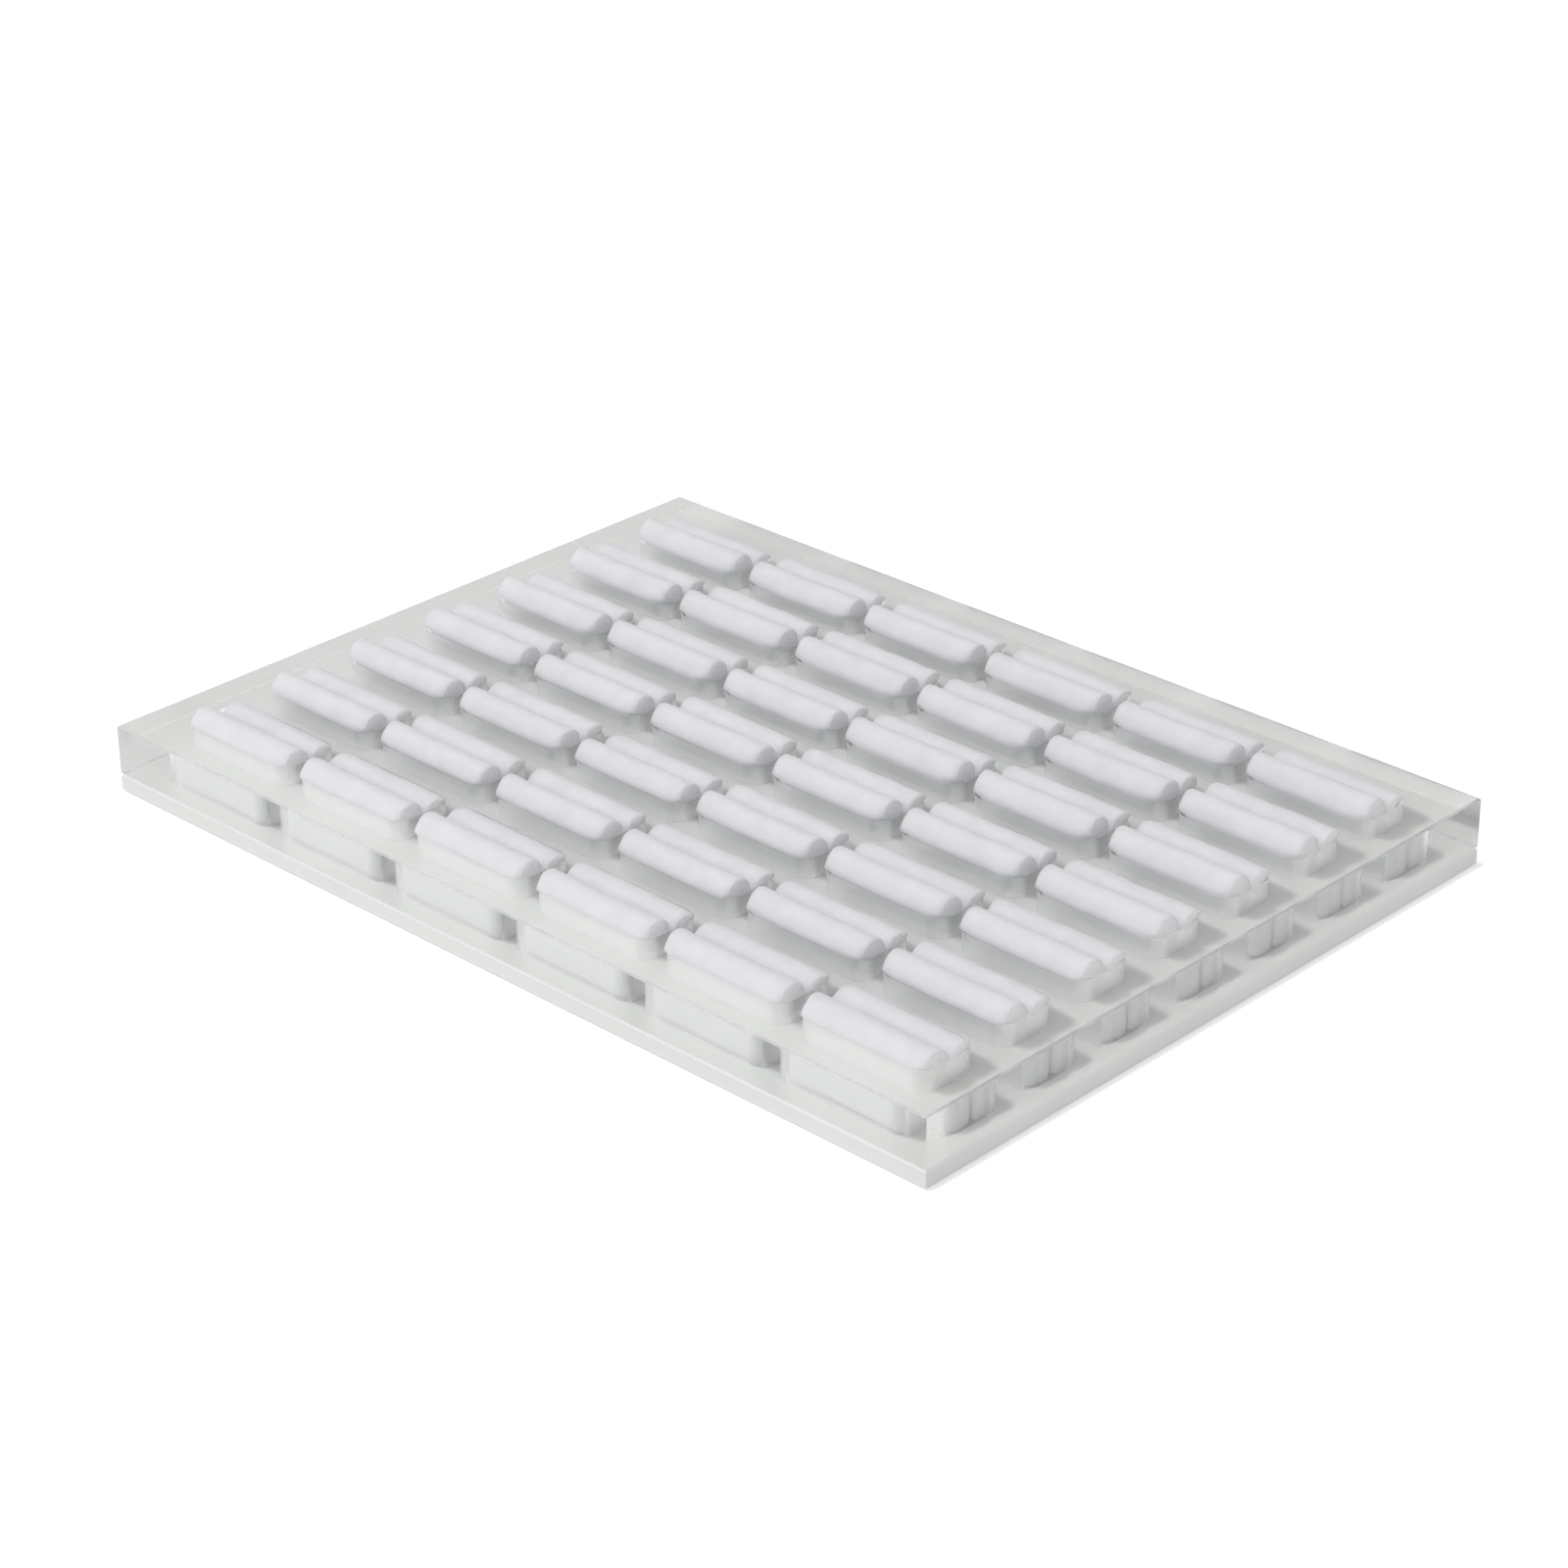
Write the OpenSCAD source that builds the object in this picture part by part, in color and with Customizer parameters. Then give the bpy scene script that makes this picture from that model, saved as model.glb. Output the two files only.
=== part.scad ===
// Ring display tray: a clear plate cut through with rows of round-cornered pockets, cemented on
// a white base sheet. Each pocket holds a pair of soft covered rolls, and a ring is pushed into
// the slit between the two. X runs along the rows, Y across them, Z up, and the origin is at the
// middle of the underside.

/* [Sheets] */
// Thickness of the plate that the pockets are cut through
plate_t = 12; // [6:0.5:20]
// Thickness of the base sheet that closes the pockets
base_t = 4; // [2:0.5:8]
// Clear rim from the tray's ends to the first and last pocket
margin_x = 10.5; // [5:0.1:25]
// Clear rim from the tray's long sides to the first and last row
margin_y = 10.7; // [5:0.1:25]
// Bevel along the outer edges of the sheets
edge_bevel = 0.4; // [0.1:0.1:0.8]

/* [Pockets] */
// Pockets in each row
columns = 6; // [1:1:6]
// Rows of pockets
rows = 7; // [1:1:7]
// Length of a pocket, along its row
pocket_l = 33.5; // [25:0.1:45]
// Width of a pocket, across its row
pocket_w = 15.6; // [12:0.1:24]
// Corner radius of a pocket
pocket_r = 4; // [2:0.1:6]
// Clear wall between two pockets of a row
web_x = 3.6; // [2:0.1:12]
// Clear wall between two rows
web_y = 7.4; // [3:0.1:20]

/* [Rolls] */
// Height of the front roll's crest over the plate
front_rise = 4.1; // [2:0.1:6]
// Height of the back roll's crest over the plate
back_rise = 2.9; // [2:0.1:6]
// Slit between the two rolls of a pair
slit_w = 0.3; // [0.1:0.1:0.6]
// Clearance between a pair and its pocket, at the floor, the ends and the front wall
roll_gap = 0.3; // [0.1:0.1:0.8]
// Room left behind a pair, at the pocket's back wall
back_gap = 0.8; // [0.1:0.1:1.5]
// Rounding of a roll's long lower edges
hem_r = 1.2; // [0.5:0.1:2]
// Rounding of a roll's upper edges at both ends
end_r = 1; // [0.5:0.1:1.8]

/* [Hidden] */
$fn = 48;
pitch_x = pocket_l + web_x;
pitch_y = pocket_w + web_y;
tray_l = 2 * margin_x + columns * pocket_l + (columns - 1) * web_x;
tray_w = 2 * margin_y + rows * pocket_w + (rows - 1) * web_y;
roll_l = pocket_l - 2 * roll_gap;
roll_floor = base_t + roll_gap;
roll_w = (pocket_w - roll_gap - back_gap - slit_w) / 2;
through = 1;
clear_tint = [0.86, 0.9, 0.89, 0.45];
opal_tint = [0.93, 0.94, 0.93];

function insert_name(row, column) = str("ring_insert_r", row, "_c", column);
function pocket_x(column) = (column - (columns + 1) / 2) * pitch_x;
function pocket_y(row) = (row - (rows + 1) / 2) * pitch_y;

// A rectangle with round corners, centred
module round_rect(length, width, radius) {
    square([length, width - 2 * radius], center = true);
    square([length - 2 * radius, width], center = true);
    for (x = [-1, 1], y = [-1, 1])
        translate([x * (length / 2 - radius), y * (width / 2 - radius)]) circle(radius);
}

// Section of a sheet, with its outer edges bevelled
module sheet_section(width, thickness) {
    half = width / 2;
    polygon([
        [-half + edge_bevel, 0], [half - edge_bevel, 0], [half, edge_bevel],
        [half, thickness - edge_bevel], [half - edge_bevel, thickness],
        [-half + edge_bevel, thickness], [-half, thickness - edge_bevel], [-half, edge_bevel]
    ]);
}

// A polished sheet, centred, with its underside at z = 0
module sheet(thickness) {
    intersection() {
        rotate([90, 0, 0]) linear_extrude(tray_w, center = true)
            sheet_section(tray_l, thickness);
        rotate([90, 0, 90]) linear_extrude(tray_l, center = true)
            sheet_section(tray_w, thickness);
    }
}

// The white sheet that the rolls stand on and that closes every pocket from below
module base_sheet() {
    color(opal_tint) sheet(base_t);
}

// The thick plate, with a pocket cut right through it for each pair of rolls
module pocket_plate() {
    color(clear_tint) translate([0, 0, base_t]) difference() {
        sheet(plate_t);
        for (row = [1:rows], column = [1:columns])
            translate([pocket_x(column), pocket_y(row), -through])
                linear_extrude(plate_t + 2 * through)
                    round_rect(pocket_l, pocket_w, pocket_r);
    }
}

// Section of a roll across its length: a round crest, straight sides and soft lower edges
module roll_section(height) {
    crest_r = roll_w / 2;
    translate([0, height - crest_r]) circle(crest_r);
    translate([-crest_r, hem_r]) square([roll_w, height - crest_r - hem_r]);
    translate([-crest_r + hem_r, 0]) square([roll_w - 2 * hem_r, hem_r]);
    for (side = [-1, 1])
        translate([side * (crest_r - hem_r), hem_r]) circle(hem_r);
}

// Side view of a roll: square below and rounded where the cover turns over the ends
module roll_side(height) {
    translate([-roll_l / 2, 0]) square([roll_l, height - end_r]);
    translate([-roll_l / 2 + end_r, 0]) square([roll_l - 2 * end_r, height]);
    for (end = [-1, 1])
        translate([end * (roll_l / 2 - end_r), height - end_r]) circle(end_r);
}

// One covered roll whose crest stands the given rise over the plate
module roll(rise) {
    height = plate_t - roll_gap + rise;
    intersection() {
        rotate([90, 0, 90]) linear_extrude(roll_l, center = true) roll_section(height);
        rotate([90, 0, 0]) linear_extrude(roll_w + 2 * through, center = true)
            roll_side(height);
    }
}

// A pair of rolls that fills one pocket, trimmed to the pocket's round corners
module ring_insert() {
    front_y = -pocket_w / 2 + roll_gap + roll_w / 2;
    color("white") translate([0, 0, roll_floor]) intersection() {
        union() {
            translate([0, front_y, 0]) roll(front_rise);
            translate([0, front_y + roll_w + slit_w, 0]) roll(back_rise);
        }
        linear_extrude(plate_t + max(front_rise, back_rise) + through)
            round_rect(roll_l, pocket_w - 2 * roll_gap, pocket_r - roll_gap);
    }
}

base_sheet();
pocket_plate();
for (row = [1:rows], column = [1:columns])
    translate([pocket_x(column), pocket_y(row), 0]) ring_insert();
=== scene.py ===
# %% [markdown]
# # A ring display tray
# A jeweller shows rings in a tray like this one. A thick clear acrylic plate is cut through with 42
# round-cornered pockets, and a thinner white sheet is cemented below it as a floor. In each pocket
# two soft covered rolls stand side by side, and a ring is pushed into the slit between them.
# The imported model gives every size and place, so this lesson only dresses it: it lights the tray,
# joins the two sheets optically, sews the rolls and gives each surface its finish.

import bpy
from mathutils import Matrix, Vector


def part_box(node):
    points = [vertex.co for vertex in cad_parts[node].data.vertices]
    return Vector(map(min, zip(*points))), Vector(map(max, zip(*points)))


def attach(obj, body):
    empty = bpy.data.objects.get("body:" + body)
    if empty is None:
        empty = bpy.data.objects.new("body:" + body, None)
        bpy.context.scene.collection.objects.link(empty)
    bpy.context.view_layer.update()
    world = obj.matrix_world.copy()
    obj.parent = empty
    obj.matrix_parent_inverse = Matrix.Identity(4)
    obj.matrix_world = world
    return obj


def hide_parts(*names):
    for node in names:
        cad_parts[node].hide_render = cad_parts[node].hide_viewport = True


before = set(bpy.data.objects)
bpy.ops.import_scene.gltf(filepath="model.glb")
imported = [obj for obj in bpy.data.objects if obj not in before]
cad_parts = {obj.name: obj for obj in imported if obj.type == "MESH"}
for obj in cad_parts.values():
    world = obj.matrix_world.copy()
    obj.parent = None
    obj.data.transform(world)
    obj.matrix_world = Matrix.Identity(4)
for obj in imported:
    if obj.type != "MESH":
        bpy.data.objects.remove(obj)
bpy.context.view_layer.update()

# %% Open the toolbox
import math
import random

import bmesh
import bpy
from mathutils import Matrix, Quaternion, Vector, noise

scene = bpy.context.scene
millimetre = 0.001
insert_names = sorted(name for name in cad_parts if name.startswith("ring_insert_"))
print(len(insert_names), "pairs of rolls stand in the tray")

# %% [markdown]
# ## The camera
# The tray is seen from above its front right corner. Its corners, its edges and the 42 pairs were
# found in the picture, and one camera was fitted to them all, so that each edge of the render falls
# on its own edge. A long lens keeps the far rows almost as wide as the near ones, as a product
# picture does, and the camera was held a hair out of level, so it is rolled about its own axis.

# %% Place the camera
camera_place = Vector((0.5530, -0.5716, 0.4168))
camera_heading = math.radians(134.072)
camera_dip = math.radians(27.064)
camera_roll = math.radians(-0.572)
look_along = Vector((
    math.cos(camera_dip) * math.cos(camera_heading),
    math.cos(camera_dip) * math.sin(camera_heading),
    -math.sin(camera_dip),
))
camera_data = bpy.data.cameras.new("picture_camera")
camera_data.sensor_width = 36.0
camera_data.lens = 94.74
camera_data.clip_start = 0.01
camera_data.clip_end = 50.0
camera = bpy.data.objects.new("picture_camera", camera_data)
scene.collection.objects.link(camera)
camera.location = camera_place
camera.rotation_mode = "QUATERNION"
level_view = look_along.to_track_quat("-Z", "Y")
camera.rotation_quaternion = level_view @ Quaternion((0.0, 0.0, 1.0), camera_roll)
scene.camera = camera
scene.view_settings.view_transform = "Standard"
print("camera at", tuple(round(value, 3) for value in camera_place))

# %% Let light pass through many faces
# A ray in thick acrylic crosses or mirrors off many faces before it comes out.
faces_in_a_row = 48
scene.cycles.max_bounces = faces_in_a_row
scene.cycles.glossy_bounces = faces_in_a_row
scene.cycles.transmission_bounces = faces_in_a_row
scene.cycles.transparent_max_bounces = faces_in_a_row
print("a ray may meet", faces_in_a_row, "faces")

# %% [markdown]
# ## Helpers for finishes
# Every finish here is made of nodes and no picture. Four small helpers keep the cells short: one
# starts a material, one adds a node and sets its values, one adds a noise, and one spreads what a
# noise gives over the range that is wanted.

# %% Start a material, add a node, add and spread a noise
def new_finish(name):
    """Return a new material with its node tree and its main shader."""
    finish = bpy.data.materials.new(name)
    finish.use_nodes = True
    tree = finish.node_tree
    return finish, tree, tree.nodes["Principled BSDF"]


def add_node(tree, kind, **values):
    """Add a node; names of sockets are written with _ where the socket has a space."""
    node = tree.nodes.new(kind)
    for name, value in values.items():
        if hasattr(node, name):
            setattr(node, name, value)
        else:
            node.inputs[name.replace("_", " ")].default_value = value
    return node


def add_noise(tree, where, scale, detail=3.0, roughness=0.5):
    """Add a noise whose scale counts its grains in a metre."""
    grain = add_node(tree, "ShaderNodeTexNoise", Scale=scale, Detail=detail, Roughness=roughness)
    tree.links.new(where.outputs["Object"], grain.inputs["Vector"])
    return grain


def remap(tree, source, low, high, from_low=0.3, from_high=0.7):
    """Turn a noise, which stays near its middle, into values from low to high."""
    spread = add_node(tree, "ShaderNodeMapRange")
    spread.inputs["From Min"].default_value = from_low
    spread.inputs["From Max"].default_value = from_high
    spread.inputs["To Min"].default_value = low
    spread.inputs["To Max"].default_value = high
    tree.links.new(source, spread.inputs["Value"])
    return spread.outputs["Result"]


print("helpers are ready")

# %% [markdown]
# ## The studio
# The tray stands on a wide white floor. A small lamp high above its front left gives the light its
# direction: it leaves the right ends of the rolls grey and throws short clear shadows on the white
# base, towards the back right. A much wider and lower one in front fills the fronts of the rolls. A
# weak and very wide one on the right keeps the cut ends and the right side from going dark, and a
# faint even sky fills the shade. Clear plastic has no colour of its own, so it looks like what is
# behind it: the sky and the floor are plain white where the camera, a reflection or a refraction
# sees them, and give only their own modest light otherwise.

# %% Hang the lamps
lamps = [
    {"name": "high_lamp", "power": 20.5, "size": 0.35, "away": 2.6, "towards": (-0.21, -0.31, 0.92)},
    {"name": "front_lamp", "power": 14.0, "size": 1.6, "away": 2.6, "towards": (-0.20, -0.78, 0.59)},
    {"name": "right_lamp", "power": 6.5, "size": 2.0, "away": 2.6, "towards": (0.86, -0.30, 0.41)},
]
for plan in lamps:
    lamp_data = bpy.data.lights.new(plan["name"], "AREA")
    lamp_data.energy = plan["power"]
    lamp_data.size = plan["size"]
    lamp = bpy.data.objects.new(plan["name"], lamp_data)
    scene.collection.objects.link(lamp)
    lamp.location = Vector(plan["towards"]).normalized() * plan["away"]
    lamp.rotation_mode = "QUATERNION"
    lamp.rotation_quaternion = (-lamp.location).to_track_quat("-Z", "Y")
print(len(lamps), "lamps of", [plan["power"] for plan in lamps], "watts")

# %% Light the sky
sky_strength = 0.38
world = bpy.data.worlds.new("studio_sky")
scene.world = world
world.use_nodes = True
sky_tree = world.node_tree
sky = sky_tree.nodes["Background"]
sky.inputs["Color"].default_value = (1.0, 1.0, 1.0, 1.0)


def combine(tree, operation, first, second):
    """Join two values by a sum, a difference or a product, or take the larger one."""
    both = add_node(tree, "ShaderNodeMath", operation=operation)
    tree.links.new(first, both.inputs[0])
    tree.links.new(second, both.inputs[1])
    return both.outputs["Value"]


def seen_directly(tree):
    """Return 1 for a ray that comes from the camera, a reflection or a refraction, and else 0."""
    path = tree.nodes.new("ShaderNodeLightPath")
    seen = combine(tree, "MAXIMUM", path.outputs["Is Camera Ray"], path.outputs["Is Glossy Ray"])
    return combine(tree, "MAXIMUM", seen, path.outputs["Is Transmission Ray"])


sky_level = remap(sky_tree, seen_directly(sky_tree), sky_strength, 1.0, 0.0, 1.0)
sky_tree.links.new(sky_level, sky.inputs["Strength"])
print("sky at", sky_strength)

# %% Lay the floor
floor_reach = 4.0
air_under_tray = 0.2 * millimetre
floor_mesh = bpy.data.meshes.new("studio_floor")
corners = [(-1, -1), (1, -1), (1, 1), (-1, 1)]
floor_points = [(x * floor_reach, y * floor_reach, -air_under_tray) for x, y in corners]
floor_mesh.from_pydata(floor_points, [], [(0, 1, 2, 3)])
floor = bpy.data.objects.new("studio_floor", floor_mesh)
scene.collection.objects.link(floor)
print("floor is", 2 * floor_reach, "metres wide")

# %% Give the floor its white paper
floor_white = 0.88
floor_unevenness = 0.01
floor_lift = 0.4
fibres_in_a_metre = 900.0

paper, paper_tree, paper_shader = new_finish("white_paper_floor")
paper_shader.inputs["Roughness"].default_value = 0.9
paper_shader.inputs["Specular IOR Level"].default_value = 0.0
paper_place = add_node(paper_tree, "ShaderNodeTexCoord")
paper_fibre = add_noise(paper_tree, paper_place, fibres_in_a_metre)
darkest_paper = floor_white - floor_unevenness
lightest_paper = floor_white + floor_unevenness
paper_tone = remap(paper_tree, paper_fibre.outputs["Fac"], darkest_paper, lightest_paper)
paper_tree.links.new(paper_tone, paper_shader.inputs["Base Color"])
paper_shader.inputs["Emission Color"].default_value = (1.0, 1.0, 1.0, 1.0)
paper_lift = remap(paper_tree, seen_directly(paper_tree), 0.0, floor_lift, 0.0, 1.0)
paper_tree.links.new(paper_lift, paper_shader.inputs["Emission Strength"])
floor_mesh.materials.append(paper)
print("paper is", floor_white, "white, and lifted by", floor_lift, "for the camera")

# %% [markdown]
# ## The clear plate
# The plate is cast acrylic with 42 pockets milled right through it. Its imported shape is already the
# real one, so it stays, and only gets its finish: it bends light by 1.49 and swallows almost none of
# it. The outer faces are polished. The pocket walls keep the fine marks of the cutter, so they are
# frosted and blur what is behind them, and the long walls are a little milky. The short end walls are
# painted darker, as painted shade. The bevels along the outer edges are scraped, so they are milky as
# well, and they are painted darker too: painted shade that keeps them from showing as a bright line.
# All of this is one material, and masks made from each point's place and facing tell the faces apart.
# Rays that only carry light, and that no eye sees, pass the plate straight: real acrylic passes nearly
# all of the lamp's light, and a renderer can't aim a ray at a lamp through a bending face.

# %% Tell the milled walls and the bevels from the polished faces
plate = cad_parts["pocket_plate"]
plate_low, plate_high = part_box("pocket_plate")
rim_left_polished = 2 * millimetre
wall_facing_up = 0.5
bevel_facing_up = 0.9
acrylic, acrylic_tree, acrylic_shader = new_finish("clear_acrylic")
acrylic_place = add_node(acrylic_tree, "ShaderNodeTexCoord")
acrylic_facing = add_node(acrylic_tree, "ShaderNodeNewGeometry")


def absolute_part(tree, vector, axis):
    """Return how large one part of a vector is, whatever its sign."""
    parts = add_node(tree, "ShaderNodeSeparateXYZ")
    tree.links.new(vector, parts.inputs["Vector"])
    size = add_node(tree, "ShaderNodeMath", operation="ABSOLUTE")
    tree.links.new(parts.outputs[axis], size.inputs[0])
    return size.outputs["Value"]


def below(tree, value, limit):
    """Return 1 where the value is under the limit, and else 0."""
    test = add_node(tree, "ShaderNodeMath", operation="LESS_THAN")
    tree.links.new(value, test.inputs[0])
    test.inputs[1].default_value = limit
    return test.outputs["Value"]


place_socket = acrylic_place.outputs["Object"]
facing_socket = acrylic_facing.outputs["True Normal"]
out_along_x = absolute_part(acrylic_tree, place_socket, "X")
out_along_y = absolute_part(acrylic_tree, place_socket, "Y")
inside_length = below(acrylic_tree, out_along_x, plate_high[0] - rim_left_polished)
inside_width = below(acrylic_tree, out_along_y, plate_high[1] - rim_left_polished)
inside_rim = combine(acrylic_tree, "MULTIPLY", inside_length, inside_width)
facing_up = absolute_part(acrylic_tree, facing_socket, "Z")
upright = below(acrylic_tree, facing_up, wall_facing_up)
milled_wall = combine(acrylic_tree, "MULTIPLY", inside_rim, upright)
bevel = combine(acrylic_tree, "SUBTRACT", below(acrylic_tree, facing_up, bevel_facing_up), upright)
print("plate reaches", [round(side / millimetre, 1) for side in plate_high[:2]], "mm from its middle")

# %% Give the plate its clear acrylic
clear_tone = (0.985, 0.992, 0.985, 1.0)
# painted shade: this darker tone is laid on the pocket end walls and on the bevels
painted_shade_tone = (0.78, 0.79, 0.78, 1.0)
wall_haze = 0.5
wall_roughness = 0.42
light_bending = 1.49
wipes_in_a_metre = 60.0
wiped_roughness = 0.03


def tone_between(tree, source, first, last):
    """Blend from the first to the last tone as the source goes from 0 to 1."""
    ramp = tree.nodes.new("ShaderNodeValToRGB")
    ramp.color_ramp.elements[0].color = first
    ramp.color_ramp.elements[1].color = last
    tree.links.new(source, ramp.inputs["Fac"])
    return ramp.outputs["Color"]


def scale_and_add(tree, value, factor, added):
    """Multiply a value by a number, then add a number or another value."""
    step = add_node(tree, "ShaderNodeMath", operation="MULTIPLY_ADD")
    tree.links.new(value, step.inputs[0])
    step.inputs[1].default_value = factor
    if isinstance(added, float):
        step.inputs[2].default_value = added
    else:
        tree.links.new(added, step.inputs[2])
    return step.outputs["Value"]


facing_end = absolute_part(acrylic_tree, facing_socket, "X")
facing_front = absolute_part(acrylic_tree, facing_socket, "Y")
end_wall = combine(acrylic_tree, "MULTIPLY", milled_wall, facing_end)
long_wall = combine(acrylic_tree, "MULTIPLY", milled_wall, facing_front)
# painted shade: the end walls and the bevels take the darker tone
painted_shade_mask = combine(acrylic_tree, "ADD", end_wall, bevel)
milkier = combine(acrylic_tree, "ADD", long_wall, bevel)
acrylic_tone = tone_between(acrylic_tree, painted_shade_mask, clear_tone, painted_shade_tone)
acrylic_tree.links.new(acrylic_tone, acrylic_shader.inputs["Base Color"])
clearness = scale_and_add(acrylic_tree, milkier, -wall_haze, 1.0)
acrylic_tree.links.new(clearness, acrylic_shader.inputs["Transmission Weight"])
acrylic_shader.inputs["IOR"].default_value = light_bending
wipe_marks = add_noise(acrylic_tree, acrylic_place, wipes_in_a_metre, 5.0)
polish = remap(acrylic_tree, wipe_marks.outputs["Fac"], 0.0, wiped_roughness)
frost = scale_and_add(acrylic_tree, milled_wall, wall_roughness, polish)
acrylic_tree.links.new(frost, acrylic_shader.inputs["Roughness"])
plate.material_slots[0].material = acrylic
print("walls are frosted to", wall_roughness)

# %% Let the light through
light_path = add_node(acrylic_tree, "ShaderNodeLightPath")
shadow_ray = light_path.outputs["Is Shadow Ray"]
unseen = combine(acrylic_tree, "MAXIMUM", shadow_ray, light_path.outputs["Is Diffuse Ray"])
straight = add_node(acrylic_tree, "ShaderNodeBsdfTransparent")
straight.inputs["Color"].default_value = (0.985, 0.99, 0.985, 1.0)
either = add_node(acrylic_tree, "ShaderNodeMixShader")
acrylic_out = acrylic_tree.nodes["Material Output"]
acrylic_tree.links.new(unseen, either.inputs["Fac"])
acrylic_tree.links.new(acrylic_shader.outputs["BSDF"], either.inputs[1])
acrylic_tree.links.new(straight.outputs["BSDF"], either.inputs[2])
acrylic_tree.links.new(either.outputs["Shader"], acrylic_out.inputs["Surface"])
print("lamps shine through the plate")

# %% [markdown]
# ## The white base sheet
# Below the plate lies a thinner sheet of opal white acrylic, joined to it with a clear cement. The
# cement wets both faces, so from inside the plate the white shows without any mirror between. To get
# that in a render, the sheet's upper face is drawn a hair inside the plate: a ray in the clear then
# meets white before it can meet the plate's own underside. Light runs along inside opal acrylic and
# leaves at its edges. Here that glow is painted light: the edge faces are painted a lighter white
# than the face.

# %% Draw the base sheet
bond_depth = 0.05 * millimetre
top_face_slack = 0.01 * millimetre
base_low, base_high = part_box("base_sheet")
base_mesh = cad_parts["base_sheet"].data.copy()
base_mesh.name = "opal_base"
for point in base_mesh.vertices:
    if point.co.z > base_high[2] - top_face_slack:
        point.co.z += bond_depth
base_mesh.materials.clear()
base = bpy.data.objects.new("opal_base", base_mesh)
scene.collection.objects.link(base)
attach(base, "root")
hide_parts("base_sheet")
print("base sheet is", round((base_high[2] - base_low[2]) / millimetre, 2), "mm thick")

# %% Give the base sheet its opal white
face_white = (0.775, 0.785, 0.76, 1.0)
# painted light: the edge faces take this lighter white as the glow that leaves the opal's edges
painted_edge_glow = (0.89, 0.895, 0.88, 1.0)
painted_glow_share = 0.75
clouds_in_a_metre = 40.0

opal, opal_tree, opal_shader = new_finish("opal_acrylic")
opal_place = add_node(opal_tree, "ShaderNodeTexCoord")
opal_facing = add_node(opal_tree, "ShaderNodeNewGeometry")
opal_cloud = add_noise(opal_tree, opal_place, clouds_in_a_metre)
opal_facing_up = absolute_part(opal_tree, opal_facing.outputs["True Normal"], "Z")
opal_edge = below(opal_tree, opal_facing_up, bevel_facing_up)
cloudiness = remap(opal_tree, opal_cloud.outputs["Fac"], 0.0, 1.0 - painted_glow_share)
# painted light: the edges are lightened by this share, on top of the random clouds
clouds_and_painted_glow = scale_and_add(opal_tree, opal_edge, painted_glow_share, cloudiness)
opal_tone = tone_between(opal_tree, clouds_and_painted_glow, face_white, painted_edge_glow)
opal_tree.links.new(opal_tone, opal_shader.inputs["Base Color"])
opal_shader.inputs["Roughness"].default_value = 0.3
opal_shader.inputs["IOR"].default_value = light_bending
base_mesh.materials.append(opal)
print("opal is on the base")

# %% [markdown]
# ## The rolls
# Each roll is a strip of foam with a velvet cover pulled over it. Its section is an arch: flat below,
# straight at the sides where it is pressed between the pocket's wall and its partner, and round
# above. The cover is turned over the cut ends, and the foam core lies a little behind its rim. The
# ends are closed by strips straight across, and no points are merged: every roll then has the same
# points in the same order, and can take its swelling from a trial cover, point by point.

# %% Measure one pair
pair_low, pair_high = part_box(insert_names[0])
slit = 0.3
back_is_lower = 1.6
pair_length = (pair_high[0] - pair_low[0]) / millimetre
pair_width = (pair_high[1] - pair_low[1]) / millimetre
front_height = (pair_high[2] - pair_low[2]) / millimetre
back_height = front_height - back_is_lower
roll_width = (pair_width - slit) / 2
print("a roll is", round(pair_length, 2), "by", round(roll_width, 2), "by", round(front_height, 2))

# %% Draw the arch of a roll
points_around = 48
hem_round = 1.2
hem_steps = 6
crest_steps = 24


def arch(height, width):
    """Return points around an arch, from the middle of its foot and back, evenly spaced."""
    crest = width / 2
    path = [(0.0, 0.0), (crest - hem_round, 0.0)]
    for step in range(1, hem_steps + 1):
        turn = math.radians(90 * step / hem_steps)
        path.append((
            crest - hem_round + hem_round * math.sin(turn),
            hem_round - hem_round * math.cos(turn),
        ))
    for step in range(crest_steps + 1):
        turn = math.radians(180 * step / crest_steps)
        path.append((crest * math.cos(turn), height - crest + crest * math.sin(turn)))
    path += [(-y, z) for y, z in reversed(path[1:hem_steps + 2])]
    path.append((0.0, 0.0))
    lengths = [0.0]
    for (y0, z0), (y1, z1) in zip(path, path[1:]):
        lengths.append(lengths[-1] + math.hypot(y1 - y0, z1 - z0))
    points = []
    for number in range(points_around):
        want = lengths[-1] * number / points_around
        part = max(i for i, length in enumerate(lengths) if length <= want)
        share = (want - lengths[part]) / max(lengths[part + 1] - lengths[part], 1e-9)
        (y0, z0), (y1, z1) = path[part], path[part + 1]
        points.append((y0 + (y1 - y0) * share, z0 + (z1 - z0) * share))
    return points


print("an arch has", len(arch(front_height, roll_width)), "points")

# %% Stretch the arch into a roll with turned-over ends
# Each step is how far it lies from the end, in millimetres, and its share of the way to the middle.
turned_rim = [(0.5, 0.0), (0.26, 0.012), (0.11, 0.035), (0.03, 0.07), (0.0, 0.12)]
core_steps = [(0.03, 0.2), (0.14, 0.24), (0.18, 0.6)]
stations_between = 34


def stations_along():
    """Return the places along a roll where the arch is drawn, and how far it is drawn in there."""
    half = pair_length / 2
    steps = turned_rim + core_steps
    stations = [(-half + back, inward) for back, inward in reversed(steps)]
    first = -half + turned_rim[0][0]
    for step in range(1, stations_between):
        stations.append((first - 2 * first * step / stations_between, 0.0))
    return stations + [(half - back, inward) for back, inward in steps]


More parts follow.
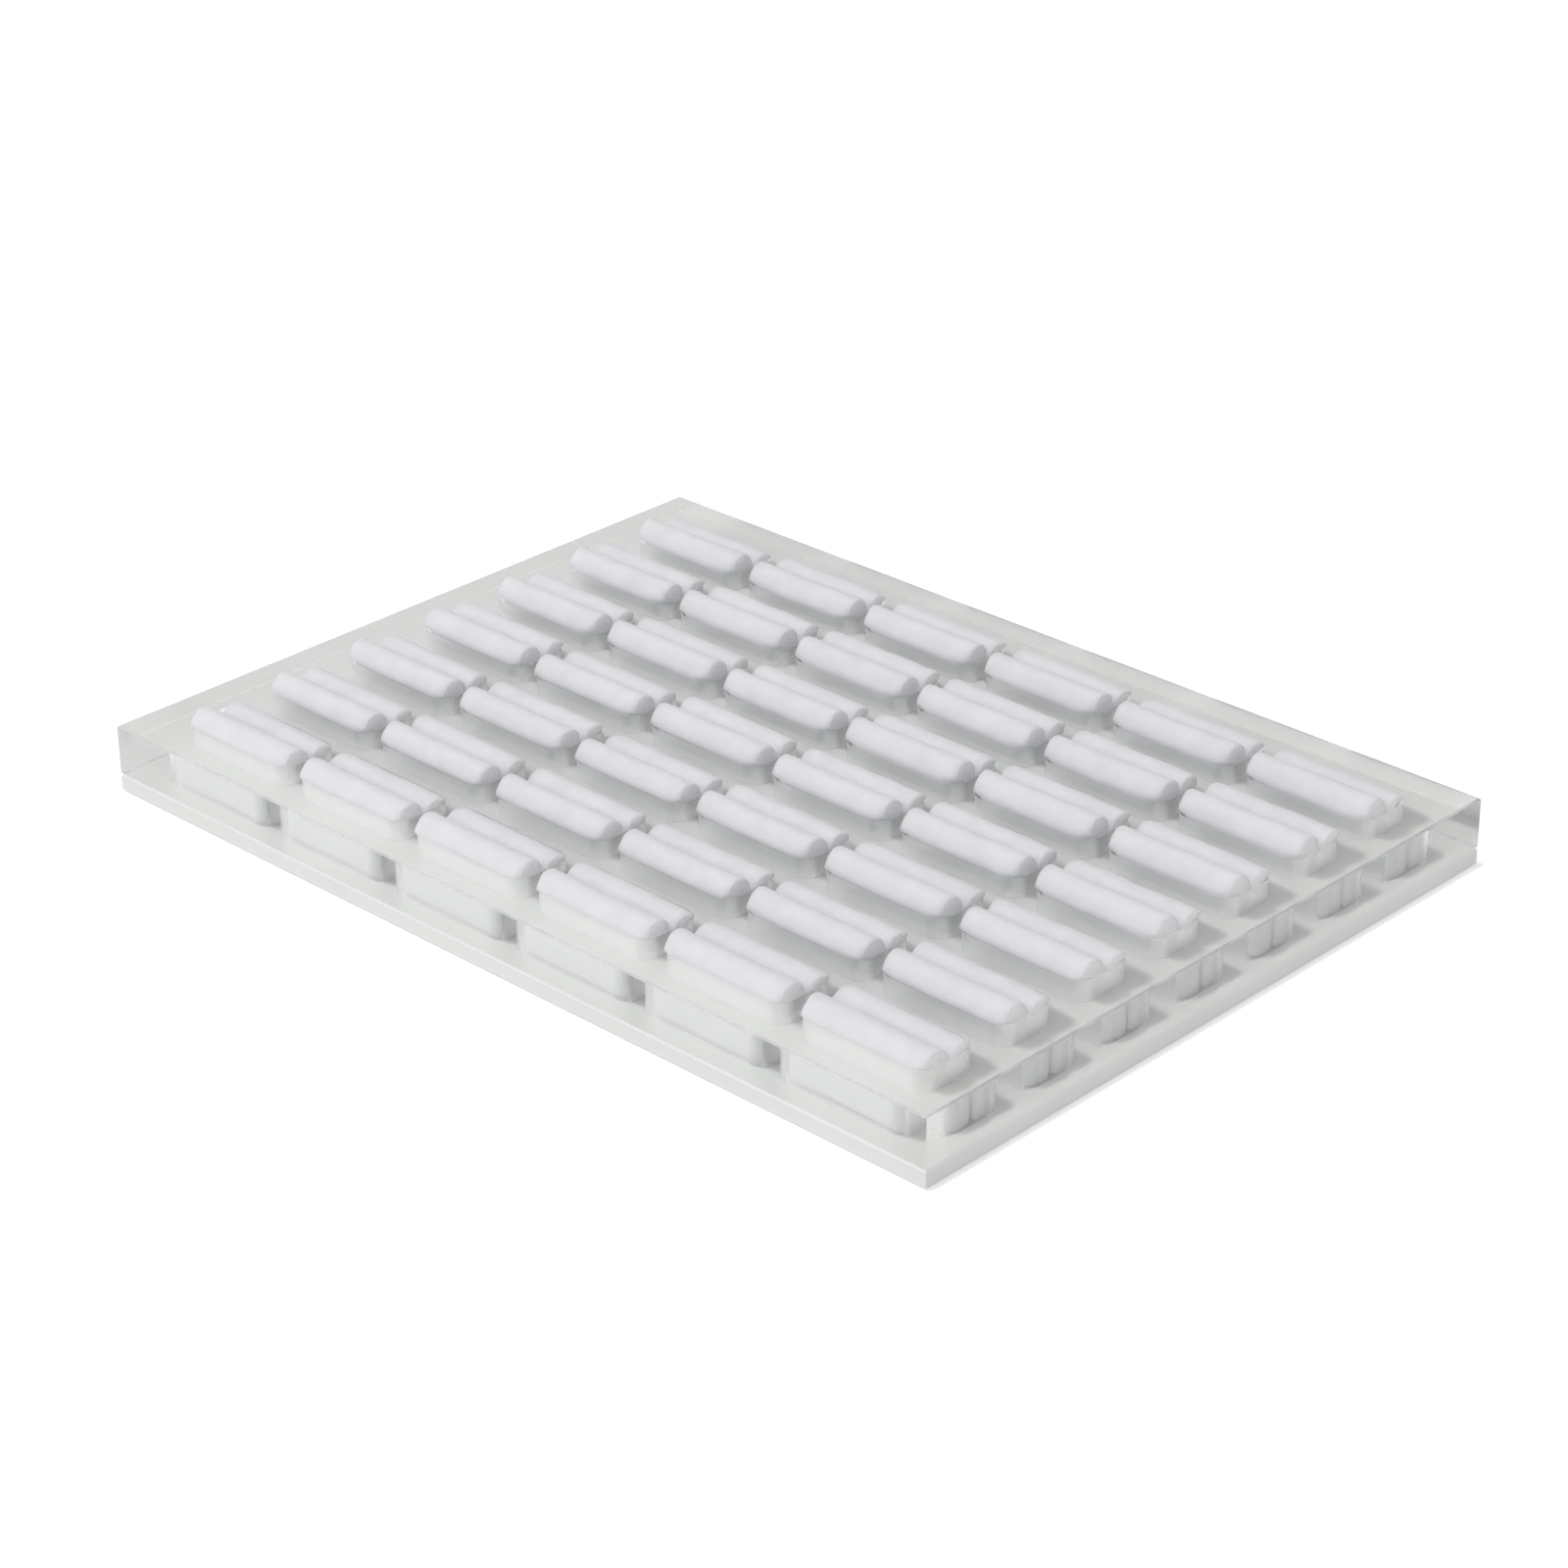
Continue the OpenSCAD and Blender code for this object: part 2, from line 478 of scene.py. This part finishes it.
def roll_shape(height, width):
    """Return a closed roll along x in millimetres; its foam core is the second material."""
    low_middle = width / 2
    high_middle = height - width / 2
    shape = bmesh.new()
    rings = []
    for x, inward in stations_along():
        ring = []
        for y, z in arch(height, width):
            middle_z = min(max(z, low_middle), high_middle)
            ring.append(shape.verts.new((x, y * (1 - inward), z + (middle_z - z) * inward)))
        rings.append(ring)
    core_rings = len(core_steps) - 1
    for number, (near, far) in enumerate(zip(rings, rings[1:])):
        in_core = number < core_rings or number >= len(rings) - 1 - core_rings
        for k in range(points_around):
            after = (k + 1) % points_around
            face = shape.faces.new((near[k], near[after], far[after], far[k]))
            face.material_index = 1 if in_core else 0
    for end_ring in (rings[0], rings[-1]):
        for k in range(points_around // 2):
            across = points_around - k
            strip = (end_ring[k], end_ring[k + 1], end_ring[across - 1], end_ring[across % points_around])
            face = shape.faces.new(list(dict.fromkeys(strip)))
            face.material_index = 1
    for face in shape.faces:
        face.smooth = True
    bmesh.ops.recalc_face_normals(shape, faces=shape.faces)
    return shape


trial = roll_shape(front_height, roll_width)
core_faces = sum(face.material_index for face in trial.faces)
print("a roll has", len(trial.faces), "faces, of them", core_faces, "on its core")
trial.free()

# %% [markdown]
# ## How the cover swells
# A cover pulled over foam is never quite straight: it bulges where nothing holds it and goes flat
# where a wall presses it. Blender's cloth solver finds that shape. A few trial covers, each with its
# own small dents, are filled with a little pressure at ten times their size, because the solver is
# tuned for garments. Their feet and their cores are held, as glue and foam hold them.

# %% Make the trial covers
cover_kinds = 3
trial_scale = 0.01
dent_depth = 0.16
dent_length = 9.0
slack = 0.22
back_seed = 10


def dent(point, seed, depth, length):
    """Return a small push in or out that changes slowly along the cover."""
    place = Vector((point.x / length, point.y / length, point.z / length))
    return depth * noise.noise(place + Vector((seed * 7.3, seed * 3.1, seed * 5.7)))


trial_shapes = {}
for kind, height in (("front", front_height), ("back", back_height)):
    for number in range(cover_kinds):
        shape = roll_shape(height - slack, roll_width - 2 * slack)
        shape.normal_update()
        seed = number + 1 + (back_seed if kind == "back" else 0)
        pushes = [(v, v.normal.copy(), dent(v.co, seed, dent_depth, dent_length)) for v in shape.verts]
        for point, outward, push in pushes:
            point.co += outward * push
        trial_shapes[kind, number] = shape
print(len(trial_shapes), "trial covers")

# %% Lay the trial covers out
swollen = {}
trial_objects = {}
for key, shape in trial_shapes.items():
    mesh = bpy.data.meshes.new("trial_cover")
    shape.to_mesh(mesh)
    shape.free()
    swollen[key] = [point.co.copy() for point in mesh.vertices]
    mesh.transform(Matrix.Scale(trial_scale, 4))
    trial_objects[key] = bpy.data.objects.new("trial_cover", mesh)
print("each trial cover has", len(swollen["front", 0]), "points")

# %% Let the trial covers swell
swell_frames = 14
swell_pressure = 4.0
swell_limit = 0.5
held_at_foot = 0.05
held_at_end = 0.36


def make_cloth(cover, points):
    """Turn a trial cover into a cloth that is glued at its foot and on its foam core."""
    inside_core = pair_length / 2 - held_at_end
    held = [i for i, p in enumerate(points) if p.z < held_at_foot or abs(p.x) > inside_core]
    glue = cover.vertex_groups.new(name="glued")
    glue.add(held, 1.0, "REPLACE")
    cloth = cover.modifiers.new("cover_cloth", "CLOTH")
    cloth.point_cache.frame_start = 1
    cloth.point_cache.frame_end = swell_frames
    cloth.settings.quality = 6
    cloth.settings.mass = 0.3
    cloth.settings.tension_stiffness = 20.0
    cloth.settings.compression_stiffness = 20.0
    cloth.settings.shear_stiffness = 8.0
    cloth.settings.bending_stiffness = 1.0
    cloth.settings.use_pressure = True
    cloth.settings.uniform_pressure_force = swell_pressure
    cloth.settings.effector_weights.gravity = 0.0
    cloth.settings.vertex_group_mass = "glued"


for key, cover in trial_objects.items():
    scene.collection.objects.link(cover)
    make_cloth(cover, swollen[key])
for frame_number in range(1, swell_frames + 1):
    scene.frame_set(frame_number)
depsgraph = bpy.context.evaluated_depsgraph_get()
for key, cover in trial_objects.items():
    after = cover.evaluated_get(depsgraph).data
    for i, point in enumerate(after.vertices):
        move = point.co / trial_scale - swollen[key][i]
        if move.length > swell_limit:
            move.length = swell_limit
        swollen[key][i] += move
scene.frame_set(1)
print("no point may move more than", swell_limit, "mm")

# %% Clear the trial covers away
for key, cover in trial_objects.items():
    rest = cover.data.vertices
    moves = [(swollen[key][i] - p.co / trial_scale).length for i, p in enumerate(rest)]
    print(key, "moved at most", round(max(moves), 3), "mm, on average", round(sum(moves) / len(moves), 3))
    mesh = cover.data
    bpy.data.objects.remove(cover)
    bpy.data.meshes.remove(mesh)

# %% [markdown]
# ## Fit each roll to its pocket
# Inside the pocket the cover follows the milled corners. Above the plate nothing holds it, so it
# swells over the rim and its corners stay almost square. The rolls are a little shorter than their
# pockets and were all pushed to the right end. No two sit quite alike: the front ones stand upright,
# and the back ones, which have a little room behind them, lean, tilt and slide by a fraction of a
# millimetre. The rows were pressed in one by one, the front row deepest. One seed and the numbers of
# the pockets drive all of it, so each run gives the same tray. Lengths here are in millimetres.

# %% Measure the pocket and the play in it
wall_gap = 0.3
clearance = 0.06
wall_play = wall_gap - clearance
end_play = -0.45
push_right = 0.6
slit_play = 0.1
room_behind = 0.75
plate_top = plate_high[2] / millimetre
print("rolls may grow", round(wall_play, 2), "mm to the walls, and lie", push_right, "mm to the right")

# %% Round the ends off as the pocket does
corner_in_pocket = 3.7
corner_above = 0.8
corner_spread = 1.9
core_depth = 0.3


def corner_pull(past_end, radius):
    """Return how far a side is pulled in by a round corner whose end lies past_end further on."""
    into_corner = min(max(radius - past_end, 0.0), radius)
    return radius - math.sqrt(max(radius ** 2 - into_corner ** 2, 0.0))


def ease(value, low, high):
    """Rise smoothly from 0 at low to 1 at high."""
    share = min(max((value - low) / (high - low), 0.0), 1.0)
    return share * share * (3 - 2 * share)


print("corners go from", corner_in_pocket, "mm in the pocket to", corner_above, "mm above it")

# %% Fit one point of a cover
# The first four are heights over the pocket's rim, with a minus where they lie under it.
corner_opens = (-0.2, 0.8)
rim_swells = (-0.3, 0.15)
crest_calms = 3.0
held_below = 0.1
# A cover swells this far out over the rim, and this share of it is gone again at the crest.
overhang = 0.75
calming = 0.6
# A roll leans about a line this far under the rim, and leans in full at this height over the line.
hinge_depth = 5.0
hinge_reach = 9.0
tilt_lift = 0.4


def keep_in_pocket(place, kind, half_length):
    """Stop a point at the walls of its pocket and at its partner."""
    half_width = roll_width / 2
    end_limit = half_length + wall_play
    place.x = min(max(place.x, -end_limit), end_limit)
    if kind == "front":
        place.y = min(max(place.y, -half_width - wall_play), half_width + slit_play)
    else:
        place.y = min(max(place.y, -half_width - slit_play), half_width + room_behind)


def fit_point(place, kind, rim, half_length, seat):
    """Move one point of a swollen cover to where its pocket lets it lie."""
    side = -1 if kind == "front" else 1
    half_width = roll_width / 2
    along = place.x / half_length
    free = ease(place.z, rim + corner_opens[0], rim + corner_opens[1])
    swell = ease(place.z, rim + rim_swells[0], rim + rim_swells[1])
    swell *= 1 - calming * ease(place.z, rim + rim_swells[1], rim + crest_calms)
    place.x *= 1 + end_play / half_length
    outer_share = max((side * place.y + half_width) / (2 * half_width), 0.0)
    place.y += side * outer_share * (wall_play + overhang * swell)
    radius = corner_in_pocket + (corner_above - corner_in_pocket) * free
    to_end = max(half_length + end_play - core_depth - abs(place.x), 0.0)
    place.y -= side * corner_pull(to_end, radius) * outer_share ** corner_spread
    above = max(place.z - rim + hinge_depth, 0.0) / hinge_reach
    place.y += above * (seat["lean"] - seat["tilt"] * along)
    place.z += above * (seat["rise"] + tilt_lift * seat["tilt"] * along)
    place.x += seat["slide"] + push_right
    if place.z < rim + held_below:
        keep_in_pocket(place, kind, half_length)
    place.z = max(place.z, 0.0)


print("a cover swells by up to", overhang, "mm over the rim")

# %% Build one roll in its pocket
# Each dent has a depth, a length and what is added to the roll's seed.
cover_dents = [(0.09, 5.0, 0.0), (0.12, 2.4, 0.5)]


def place_roll(name, node, kind, cover, seed, seat):
    """Build one roll in its pocket and return it."""
    low, high = (Vector(corner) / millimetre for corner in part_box(node))
    half_length = (high.x - low.x) / 2
    middle_x = (high.x + low.x) / 2
    middle_y = low.y + roll_width / 2 if kind == "front" else high.y - roll_width / 2
    shape = roll_shape(front_height if kind == "front" else back_height, roll_width)
    shape.normal_update()
    rim = plate_top - low.z
    for i, point in enumerate(shape.verts):
        outward = point.normal.copy()
        place = swollen[kind, cover][i].copy()
        for depth, length, more_seed in cover_dents:
            place += outward * dent(place, seed + more_seed, depth, length)
        fit_point(place, kind, rim, half_length, seat)
        point.co = Vector((middle_x + place.x, middle_y + place.y, low.z + place.z)) * millimetre
    mesh = bpy.data.meshes.new(name)
    shape.to_mesh(mesh)
    shape.free()
    roll = bpy.data.objects.new(name, mesh)
    scene.collection.objects.link(roll)
    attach(roll, "root")
    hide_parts(node)
    return roll


print("a cover gets", len(cover_dents), "kinds of dents")

# %% Set all the rolls
settle = random.Random(742)
looseness = {
    "front": {"lean": (-0.1, 0.1), "tilt": (-0.12, 0.12), "slide": (-0.1, 0.1), "rise": (-0.2, 0.2)},
    "back": {"lean": (-0.2, 0.5), "tilt": (-0.1, 0.9), "slide": (-0.1, 0.1), "rise": (-0.4, 0.4)},
}
row_rise = {
    "front": [-0.35, 0.05, 0.2, 0.45, 0.75, 0.8, 0.7],
    "back": [-0.65, -0.28, -0.08, 0.3, 0.75, 0.64, 0.3],
}
first_seed = {"front": 20, "back": 70}

rolls = []
for number, node in enumerate(insert_names):
    pocket = node.replace("ring_insert_", "")
    row = int(pocket[1]) - 1
    for kind in ("front", "back"):
        cover = settle.randrange(cover_kinds)
        seat = {play: settle.uniform(*span) for play, span in looseness[kind].items()}
        seat["rise"] += row_rise[kind][row]
        name = kind + "_roll_" + pocket
        rolls.append(place_roll(name, node, kind, cover, number + first_seed[kind], seat))
print(len(rolls), "rolls stand in their pockets")

# %% [markdown]
# ## White velvet and foam
# The cover is a short even velvet: matt, very slightly blue, with a soft edge glow where the pile is
# seen from the side and faint patches where a hand has brushed it another way. The cut foam at the
# ends is white with fine cells. Light sinks a few millimetres into both before it comes back, which
# keeps their shaded sides soft.

# %% Give the covers their velvet
velvet_light = (0.83, 0.83, 0.87, 1.0)
velvet_shade = (0.775, 0.775, 0.815, 1.0)
brush_marks_in_a_metre = 170.0
tufts_in_a_metre = 2600.0
pile_depth = 0.06 * millimetre
light_sinks = (1.0, 1.0, 1.0)


def add_bump(tree, source, shader, depth, strength=1.0):
    """Raise fine relief of the given depth, in metres, on a shader."""
    relief = add_node(tree, "ShaderNodeBump", Strength=strength, Distance=depth)
    tree.links.new(source, relief.inputs["Height"])
    tree.links.new(relief.outputs["Normal"], shader.inputs["Normal"])


velvet, velvet_tree, velvet_shader = new_finish("white_velvet")
velvet_place = add_node(velvet_tree, "ShaderNodeTexCoord")
brushed = add_noise(velvet_tree, velvet_place, brush_marks_in_a_metre)
pile = add_noise(velvet_tree, velvet_place, tufts_in_a_metre, 2.0, 0.7)
brush_amount = remap(velvet_tree, brushed.outputs["Fac"], 0.0, 1.0)
velvet_tone = tone_between(velvet_tree, brush_amount, velvet_shade, velvet_light)
velvet_tree.links.new(velvet_tone, velvet_shader.inputs["Base Color"])
add_bump(velvet_tree, pile.outputs["Fac"], velvet_shader, pile_depth, 0.5)
velvet_rough = remap(velvet_tree, pile.outputs["Fac"], 0.82, 0.96)
velvet_tree.links.new(velvet_rough, velvet_shader.inputs["Roughness"])
velvet_shader.inputs["Specular IOR Level"].default_value = 0.2
velvet_shader.inputs["Subsurface Weight"].default_value = 1.0
velvet_shader.inputs["Subsurface Radius"].default_value = light_sinks
velvet_shader.inputs["Subsurface Scale"].default_value = 5 * millimetre
velvet_shader.inputs["Sheen Weight"].default_value = 0.25
velvet_shader.inputs["Sheen Roughness"].default_value = 0.5
print("velvet has", tufts_in_a_metre, "tufts in a metre")

# %% Give the cut ends their foam
foam_shade = (0.84, 0.84, 0.86, 1.0)
foam_light = (0.92, 0.92, 0.94, 1.0)
cells_in_a_metre = 2200.0
cell_depth = 0.15 * millimetre

foam, foam_tree, foam_shader = new_finish("white_foam_core")
foam_place = add_node(foam_tree, "ShaderNodeTexCoord")
cells = add_node(foam_tree, "ShaderNodeTexVoronoi", Scale=cells_in_a_metre)
foam_tree.links.new(foam_place.outputs["Object"], cells.inputs["Vector"])
foam_tone = tone_between(foam_tree, cells.outputs["Distance"], foam_shade, foam_light)
foam_tree.links.new(foam_tone, foam_shader.inputs["Base Color"])
add_bump(foam_tree, cells.outputs["Distance"], foam_shader, cell_depth, 0.6)
foam_shader.inputs["Roughness"].default_value = 0.9
foam_shader.inputs["Specular IOR Level"].default_value = 0.2
foam_shader.inputs["Subsurface Weight"].default_value = 1.0
foam_shader.inputs["Subsurface Radius"].default_value = light_sinks
foam_shader.inputs["Subsurface Scale"].default_value = 4 * millimetre
print("foam has", cells_in_a_metre, "cells in a metre")

# %% Put both on the rolls
for roll in rolls:
    roll.data.materials.append(velvet)
    roll.data.materials.append(foam)
print("velvet and foam are on", len(rolls), "rolls")
